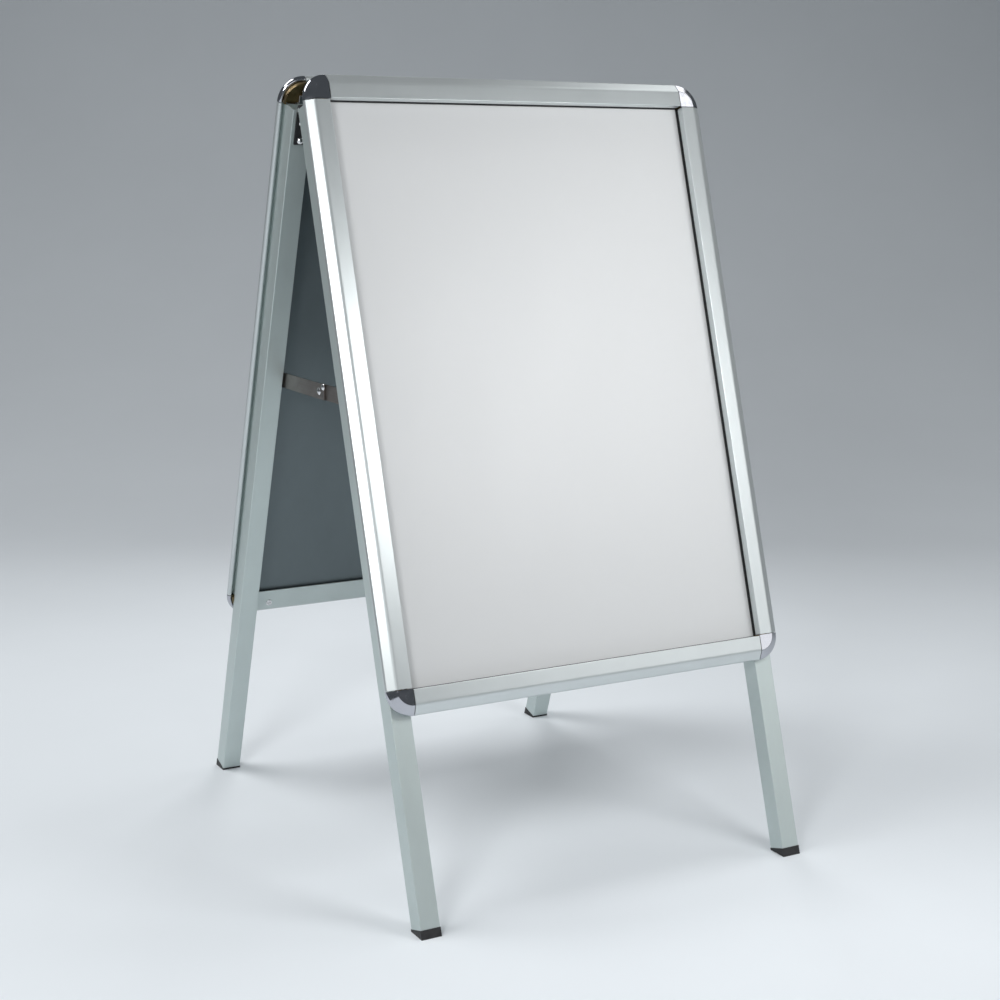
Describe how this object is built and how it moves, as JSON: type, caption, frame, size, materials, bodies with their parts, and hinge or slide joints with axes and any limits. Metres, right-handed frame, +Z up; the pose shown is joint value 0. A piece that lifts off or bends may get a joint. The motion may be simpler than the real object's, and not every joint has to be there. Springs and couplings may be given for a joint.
{
  "type": "sandwich board",
  "caption": "Folding sandwich board: snap-frame poster panels on square legs, hinged at the top and held open by folding stays.",
  "frame": {"origin": "on the floor, in the middle of the open board's footprint", "axes": "+Z up, +X across the board to the right of a reader of the front panel, -Y out of the front panel"},
  "size_m": [0.55, 0.6542, 0.9489],
  "materials": {
    "cover_metal": "satin anodised",
    "frame_metal": "satin anodised",
    "cap_chrome": "polished chrome plate",
    "key_zinc": "yellow zinc plate",
    "screw_steel": "zinc plated",
    "spring_steel": "spring steel",
    "back_sheet_metal": "galvanised sheet",
    "poster_paper": "blank white poster",
    "clear_plastic": "clear glossy sheet",
    "foot_rubber": "moulded black rubber",
    "seal_black": "thin black sealing strip",
    "hinge_black": "black coated steel",
    "rivet_bright": "bright plated rivet",
    "pin_steel": "turned steel",
    "stay_steel": "dark steel strap"
  },
  "bodies": {
    "front_leaf": {"front_leg_left": "frame_metal", "front_leg_right": "frame_metal", "front_rail_top": "frame_metal", "front_rail_bottom": "frame_metal", "front_cap_top_left": "cap_chrome", "front_cap_top_right": "cap_chrome", "front_cap_bottom_left": "cap_chrome", "front_cap_bottom_right": "cap_chrome", "front_corner_keys": "key_zinc", "front_key_screws": "screw_steel", "front_springs": "spring_steel", "front_back_sheet": "back_sheet_metal", "front_poster": "poster_paper", "front_clear_sheet": "clear_plastic", "front_seal": "seal_black", "front_foot_left": "foot_rubber", "front_foot_right": "foot_rubber", "front_hinge_plate_left": "hinge_black", "front_hinge_plate_right": "hinge_black", "front_hinge_rivets": "rivet_bright", "front_stay_pivots": "stay_steel", "hinge_pins": "pin_steel"},
    "back_leaf": {"back_leg_left": "frame_metal", "back_leg_right": "frame_metal", "back_rail_top": "frame_metal", "back_rail_bottom": "frame_metal", "back_cap_top_left": "cap_chrome", "back_cap_top_right": "cap_chrome", "back_cap_bottom_left": "cap_chrome", "back_cap_bottom_right": "cap_chrome", "back_corner_keys": "key_zinc", "back_key_screws": "screw_steel", "back_springs": "spring_steel", "back_back_sheet": "back_sheet_metal", "back_poster": "poster_paper", "back_clear_sheet": "clear_plastic", "back_seal": "seal_black", "back_foot_left": "foot_rubber", "back_foot_right": "foot_rubber", "back_hinge_plate_left": "hinge_black", "back_hinge_plate_right": "hinge_black", "back_hinge_rivets": "rivet_bright", "back_stay_pivots": "stay_steel"},
    "front_cover_top": {"front_cover_top": "cover_metal"},
    "front_cover_bottom": {"front_cover_bottom": "cover_metal"},
    "front_cover_left": {"front_cover_left": "cover_metal"},
    "front_cover_right": {"front_cover_right": "cover_metal"},
    "back_cover_top": {"back_cover_top": "cover_metal"},
    "back_cover_bottom": {"back_cover_bottom": "cover_metal"},
    "back_cover_left": {"back_cover_left": "cover_metal"},
    "back_cover_right": {"back_cover_right": "cover_metal"},
    "front_stay_left": {"front_stay_left": "stay_steel", "elbow_tail_left": "rivet_bright"},
    "front_stay_right": {"front_stay_right": "stay_steel", "elbow_tail_right": "rivet_bright"},
    "back_stay_left": {"back_stay_left": "stay_steel", "elbow_rivets_left": "rivet_bright"},
    "back_stay_right": {"back_stay_right": "stay_steel", "elbow_rivets_right": "rivet_bright"}
  },
  "joints": [
    {"name": "fold", "type": "hinge", "parent": "front_leaf", "child": "back_leaf", "pos_m": [0, 0, 0.90891], "axis": [-1, 0, 0], "range_deg": [0, 35.8]},
    {"name": "front_cover_top_snap", "type": "hinge", "parent": "front_leaf", "child": "front_cover_top", "pos_m": [0, -0.03009, 0.9449], "axis": [-1, 0, 0], "range_deg": [0, 90]},
    {"name": "front_cover_bottom_snap", "type": "hinge", "parent": "front_leaf", "child": "front_cover_bottom", "pos_m": [0, -0.25631, 0.24453], "axis": [1, 0, 0], "range_deg": [0, 90]},
    {"name": "front_cover_left_snap", "type": "hinge", "parent": "front_leaf", "child": "front_cover_left", "pos_m": [-0.271, -0.1432, 0.59471], "axis": [0, -0.3074, -0.9516], "range_deg": [0, 90]},
    {"name": "front_cover_right_snap", "type": "hinge", "parent": "front_leaf", "child": "front_cover_right", "pos_m": [0.271, -0.1432, 0.59471], "axis": [0, 0.3074, 0.9516], "range_deg": [0, 90]},
    {"name": "back_cover_top_snap", "type": "hinge", "parent": "back_leaf", "child": "back_cover_top", "pos_m": [0, 0.03009, 0.9449], "axis": [1, 0, 0], "range_deg": [0, 90]},
    {"name": "back_cover_bottom_snap", "type": "hinge", "parent": "back_leaf", "child": "back_cover_bottom", "pos_m": [0, 0.25631, 0.24453], "axis": [-1, 0, 0], "range_deg": [0, 90]},
    {"name": "back_cover_left_snap", "type": "hinge", "parent": "back_leaf", "child": "back_cover_left", "pos_m": [-0.271, 0.1432, 0.59471], "axis": [0, -0.3074, 0.9516], "range_deg": [0, 90]},
    {"name": "back_cover_right_snap", "type": "hinge", "parent": "back_leaf", "child": "back_cover_right", "pos_m": [0.271, 0.1432, 0.59471], "axis": [0, 0.3074, -0.9516], "range_deg": [0, 90]},
    {"name": "front_stay_left_pivot", "type": "hinge", "parent": "front_leaf", "child": "front_stay_left", "pos_m": [-0.237, -0.11871, 0.5775], "axis": [1, 0, 0], "range_deg": [0, 58.68]},
    {"name": "front_stay_right_pivot", "type": "hinge", "parent": "front_leaf", "child": "front_stay_right", "pos_m": [0.237, -0.11871, 0.5775], "axis": [1, 0, 0], "range_deg": [0, 58.68]},
    {"name": "back_stay_left_pivot", "type": "hinge", "parent": "back_leaf", "child": "back_stay_left", "pos_m": [-0.24, 0.12974, 0.5775], "axis": [-1, 0, 0], "range_deg": [0, 70.41]},
    {"name": "back_stay_right_pivot", "type": "hinge", "parent": "back_leaf", "child": "back_stay_right", "pos_m": [0.24, 0.12974, 0.5775], "axis": [-1, 0, 0], "range_deg": [0, 70.41]}
  ],
  "couplings": [
    {"joint": "front_stay_left_pivot", "follows": "fold", "ratio": 1.6378},
    {"joint": "front_stay_right_pivot", "follows": "fold", "ratio": 1.6378},
    {"joint": "back_stay_left_pivot", "follows": "fold", "ratio": 1.9653},
    {"joint": "back_stay_right_pivot", "follows": "fold", "ratio": 1.9653}
  ]
}
